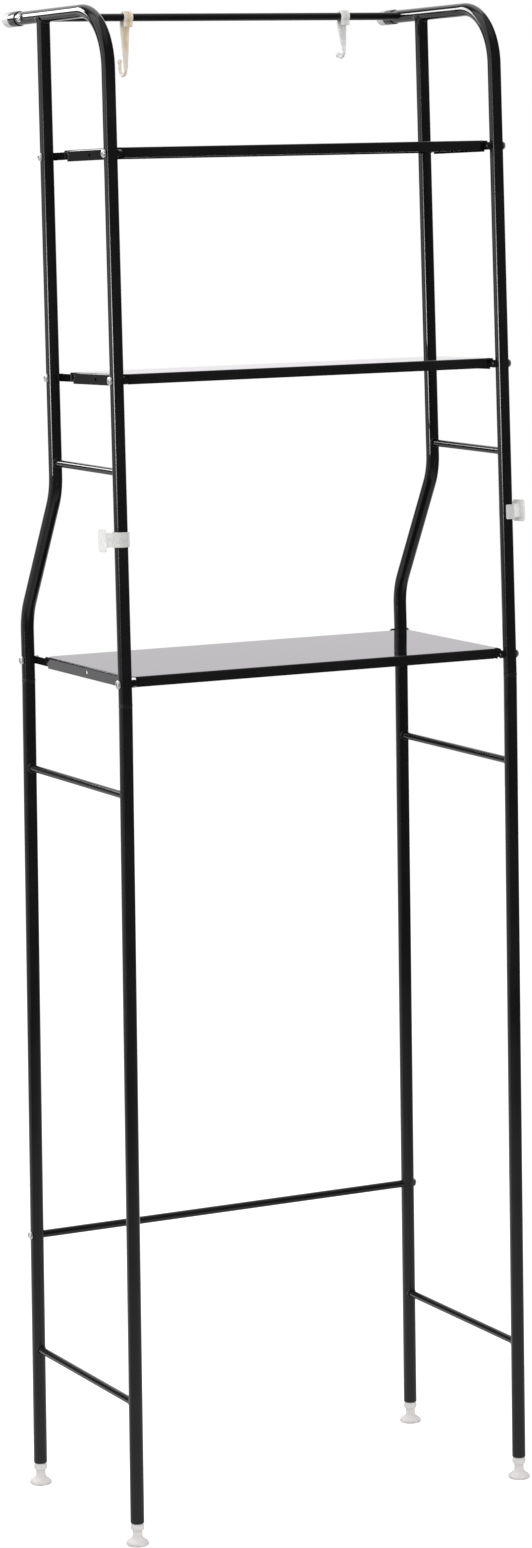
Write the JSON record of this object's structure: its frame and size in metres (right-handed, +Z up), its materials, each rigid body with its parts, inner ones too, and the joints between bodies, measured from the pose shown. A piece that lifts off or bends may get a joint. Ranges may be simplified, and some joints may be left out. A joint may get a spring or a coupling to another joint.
{
  "type": "over the toilet storage rack",
  "caption": "Free-standing bathroom rack of black steel tube that straddles a toilet, with pressed sheet shelves, a hanging bar with S hooks, and levelling feet.",
  "frame": {"origin": "on the floor, under the middle of the rack's width and depth", "axes": "+Z up, +Y towards the wall behind the toilet, +X to the right of someone facing the rack"},
  "size_m": [0.5614, 0.3131, 1.7736],
  "materials": {
    "tube_enamel": "gloss black enamel on steel tube",
    "sheet_enamel": "gloss black enamel on pressed sheet steel",
    "black_plastic": "satin",
    "white_plastic": "milky translucent",
    "foot_plastic": "milky translucent",
    "clear_plastic": "frosted translucent",
    "ivory_plastic": "translucent ivory",
    "frosted_plastic": "translucent grey-white",
    "plated_steel": "bright zinc plated"
  },
  "bodies": {
    "frame": {"front_leg_left": "tube_enamel", "front_leg_right": "tube_enamel", "rear_leg_left": "tube_enamel", "rear_leg_right": "tube_enamel", "low_rung_left": "tube_enamel", "low_rung_right": "tube_enamel", "mid_rung_left": "tube_enamel", "mid_rung_right": "tube_enamel", "front_upright_left": "tube_enamel", "front_upright_right": "tube_enamel", "rear_upright_left": "tube_enamel", "rear_upright_right": "tube_enamel", "upper_rung_left": "tube_enamel", "upper_rung_right": "tube_enamel", "arm_sleeve_left": "black_plastic", "arm_sleeve_right": "black_plastic", "wall_bumper_left": "white_plastic", "wall_bumper_right": "white_plastic", "top_shelf": "sheet_enamel", "middle_shelf": "sheet_enamel", "bottom_shelf": "sheet_enamel", "top_shelf_bolts": "plated_steel", "middle_shelf_bolts": "plated_steel", "bottom_shelf_bolts": "plated_steel", "top_shelf_nuts": "sheet_enamel", "middle_shelf_nuts": "sheet_enamel", "bottom_shelf_nuts": "sheet_enamel", "back_bar": "tube_enamel", "back_bar_bolts": "plated_steel", "hanging_bar": "tube_enamel", "hanging_bar_bolts": "plated_steel", "foot_plug_front_left": "white_plastic", "foot_plug_front_right": "white_plastic", "foot_plug_rear_left": "white_plastic", "foot_plug_rear_right": "white_plastic"},
    "foot_front_left": {"foot_front_left": "foot_plastic"},
    "foot_front_right": {"foot_front_right": "foot_plastic"},
    "foot_rear_left": {"foot_rear_left": "foot_plastic"},
    "foot_rear_right": {"foot_rear_right": "foot_plastic"},
    "hook_long": {"hook_long": "ivory_plastic"},
    "hook_short": {"hook_short": "frosted_plastic"},
    "clip_left": {"clip_left": "clear_plastic"},
    "clip_right": {"clip_right": "clear_plastic"}
  },
  "joints": [
    {"name": "foot_front_left_level", "type": "slide", "parent": "frame", "child": "foot_front_left", "axis": [0, 0, 1], "range_m": [-0.012, 0.006]},
    {"name": "foot_front_right_level", "type": "slide", "parent": "frame", "child": "foot_front_right", "axis": [0, 0, 1], "range_m": [-0.012, 0.006]},
    {"name": "foot_rear_left_level", "type": "slide", "parent": "frame", "child": "foot_rear_left", "axis": [0, 0, 1], "range_m": [-0.012, 0.006]},
    {"name": "foot_rear_right_level", "type": "slide", "parent": "frame", "child": "foot_rear_right", "axis": [0, 0, 1], "range_m": [-0.012, 0.006]},
    {"name": "hook_long_swing", "type": "hinge", "parent": "frame", "child": "hook_long", "pos_m": [0, 0.10305, 1.76103], "axis": [1, 0, 0], "range_deg": [-90, 30]},
    {"name": "hook_short_swing", "type": "hinge", "parent": "frame", "child": "hook_short", "pos_m": [0, 0.10305, 1.76103], "axis": [1, 0, 0], "range_deg": [-90, 30]},
    {"name": "clip_left_slide", "type": "slide", "parent": "frame", "child": "clip_left", "axis": [0, 0.0297, 0.9996], "range_m": [-0.14, 0.055]},
    {"name": "clip_right_slide", "type": "slide", "parent": "frame", "child": "clip_right", "axis": [0, 0.0297, 0.9996], "range_m": [-0.14, 0.055]}
  ]
}
